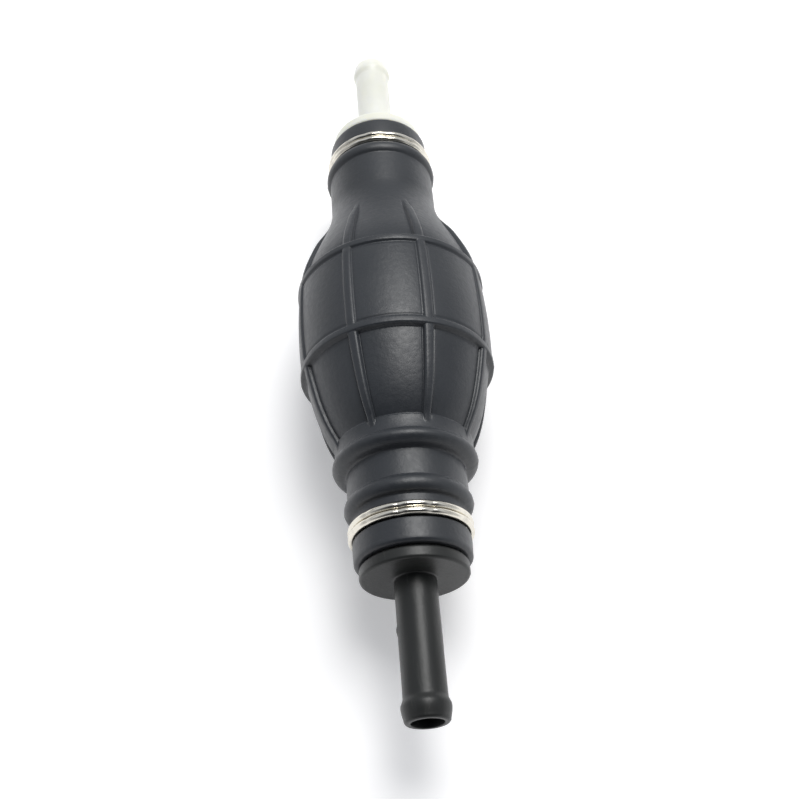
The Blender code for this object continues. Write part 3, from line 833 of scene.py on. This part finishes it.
def make_stage():
    """A pale floor, glowing a little more far away so that it meets the skyline evenly."""
    mesh = bpy.data.meshes.new("floor")
    signs = [(-1, -1), (1, -1), (1, 1), (-1, 1)]
    corners = [(x * FLOOR_HALF, y * FLOOR_HALF, 0) for x, y in signs]
    mesh.from_pydata(corners, [], [(0, 1, 2, 3)])
    floor = bpy.data.objects.new("floor", mesh)
    bpy.context.scene.collection.objects.link(floor)
    n = Nodes("floor")
    n.set(Base_Color=(0.93, 0.925, 0.93, 1), Roughness=0.85, Specular_IOR_Level=0.1)
    n.set(Emission_Color=(1.0, 0.995, 0.99, 1))
    away = n.new("ShaderNodeVectorMath", operation="LENGTH")
    n.link(n.place, away.inputs[0])
    glow = n.span(away.outputs["Value"], FLOOR_GLOW_FROM, FLOOR_GLOW_TO, *FLOOR_GLOW)
    n.link(glow, n.shader.inputs["Emission Strength"])
    mesh.materials.append(n.mat)


def area_light(name, place, target, size, power):
    """A slightly warm panel at `place`, turned to `target`."""
    light = bpy.data.lights.new(name, "AREA")
    light.shape = "RECTANGLE"
    light.size, light.size_y = size
    light.energy = power
    light.color = (1.0, 0.995, 0.98)
    obj = bpy.data.objects.new(name, light)
    obj.location = place
    obj.rotation_mode = "QUATERNION"
    obj.rotation_quaternion = (Vector(target) - Vector(place)).to_track_quat("-Z", "Y")
    bpy.context.scene.collection.objects.link(obj)


SKY = [
    (0.22, (0.42, 0.425, 0.43, 1)),
    (0.55, (0.84, 0.87, 0.92, 1)),
    (1.0, (0.66, 0.70, 0.78, 1)),
]
SKYLINE = (0.79, 0.80, 0.825, 1)
SKYLINE_TOP = (0.12, 0.30)
VIEWER = (0.0, -0.70, 0.71)
VIEWER_DARK = (0.30, 0.88)
VIEWER_LEVEL = 0.06
SKY_STRENGTH = 0.85
OVERHEAD_PLACE = (0.16, 0.24, 0.74)
OVERHEAD_SIZE = (0.42, 0.42)
OVERHEAD_POWER = 4.8


def soft_step(tree, source, edges, levels):
    """A smooth step in the world's node tree, from one level to the other between two edges."""
    node = tree.nodes.new("ShaderNodeMapRange")
    node.interpolation_type = "SMOOTHSTEP"
    node.inputs["From Min"].default_value, node.inputs["From Max"].default_value = edges
    node.inputs["To Min"].default_value, node.inputs["To Max"].default_value = levels
    tree.links.new(source, node.inputs["Value"])
    return node.outputs["Result"]


def make_light():
    """A white room with a soft overhead panel beyond the pump, dark where the viewer stands."""
    world = bpy.data.worlds.new("studio")
    bpy.context.scene.world = world
    world.use_nodes = True
    tree = world.node_tree
    back = tree.nodes["Background"]
    towards = tree.nodes.new("ShaderNodeTexCoord").outputs["Generated"]
    split = tree.nodes.new("ShaderNodeSeparateXYZ")
    tree.links.new(towards, split.inputs[0])
    height = split.outputs["Z"]
    ramp = tree.nodes.new("ShaderNodeValToRGB")
    tree.links.new(height, ramp.inputs["Fac"])
    stops = ramp.color_ramp.elements
    stops.new(0.5)
    for stop, (at, colour) in zip(stops, SKY):
        stop.position, stop.color = at, colour
    facing = tree.nodes.new("ShaderNodeVectorMath")
    facing.operation = "DOT_PRODUCT"
    facing.inputs[1].default_value = Vector(VIEWER).normalized()
    tree.links.new(towards, facing.inputs[0])
    lobe = soft_step(tree, facing.outputs["Value"], VIEWER_DARK, (1.0, VIEWER_LEVEL))
    shade = tree.nodes.new("ShaderNodeVectorMath")
    shade.operation = "MULTIPLY"
    tree.links.new(ramp.outputs["Color"], shade.inputs[0])
    tree.links.new(lobe, shade.inputs[1])
    wall = tree.nodes.new("ShaderNodeMix")
    wall.data_type = "RGBA"
    tree.links.new(soft_step(tree, height, SKYLINE_TOP, (1.0, 0.0)), wall.inputs[0])
    tree.links.new(shade.outputs["Vector"], wall.inputs[6])
    wall.inputs[7].default_value = SKYLINE
    tree.links.new(wall.outputs[2], back.inputs["Color"])
    back.inputs["Strength"].default_value = SKY_STRENGTH
    area_light("overhead", OVERHEAD_PLACE, (0, 0, 0.02), OVERHEAD_SIZE, OVERHEAD_POWER)


CAMERA_LENS = 47.7
CAMERA_PLACE = Vector((0.70 * MM, MIDDLE - 132.8 * MM, AXIS_Z + 184.0 * MM))
CAMERA_TURN = math.radians(0.30)
CAMERA_TILT = math.radians(32.35)
CAMERA_ROLL = math.radians(-5.36)


def make_camera():
    """The camera looks down along the pump from over its outlet, a little rolled."""
    cam = bpy.data.cameras.new("camera")
    cam.lens = CAMERA_LENS
    cam.sensor_width = 36
    cam.clip_start = 0.01
    obj = bpy.data.objects.new("camera", cam)
    tilt = Matrix.Rotation(CAMERA_TURN, 3, "Z")
    tilt = tilt @ Matrix.Rotation(CAMERA_TILT, 3, "X")
    tilt = tilt @ Matrix.Rotation(CAMERA_ROLL, 3, "Z")
    obj.matrix_world = Matrix.Translation(CAMERA_PLACE) @ tilt.to_4x4()
    bpy.context.scene.collection.objects.link(obj)
    bpy.context.scene.camera = obj


# ---------------------------------------------------------------- everything


make_camera()
make_bulb(rubber())
make_fitting("outlet_body", "outlet_fitting", -1, black_plastic(), "outlet_plastic")
make_fitting("inlet_body", "inlet_fitting", 1, white_nylon(), "inlet_plastic")
steel = drawn_steel("clamp_steel")
outlet_kinks = [(-9, 0.23 * MM), (21, 0.2 * MM), (-42, 0.1 * MM)]
inlet_kinks = [(-14, 0.14 * MM), (12, 0.12 * MM), (38, 0.10 * MM)]
make_clamp("outlet_wire", "outlet_clamp", -1, steel, outlet_kinks)
make_clamp("inlet_wire", "inlet_clamp", 1, steel, inlet_kinks)

plastic = valve_plastic()
seal = seal_rubber()
spring = drawn_steel("spring_steel", (0.72, 0.72, 0.71), 0.18, 0.32)
for end in ("inlet", "outlet"):
    for node, mat in (
        ("valve_seat", plastic),
        ("valve_cage", plastic),
        ("poppet", plastic),
        ("poppet_seal", seal),
    ):
        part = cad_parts[f"{end}_{node}"]
        part.data.materials.clear()
        part.data.materials.append(mat)
    make_spring(end, spring)

make_stage()
make_light()
view = bpy.context.scene.view_settings
view.view_transform = "Standard"
view.look = "None"
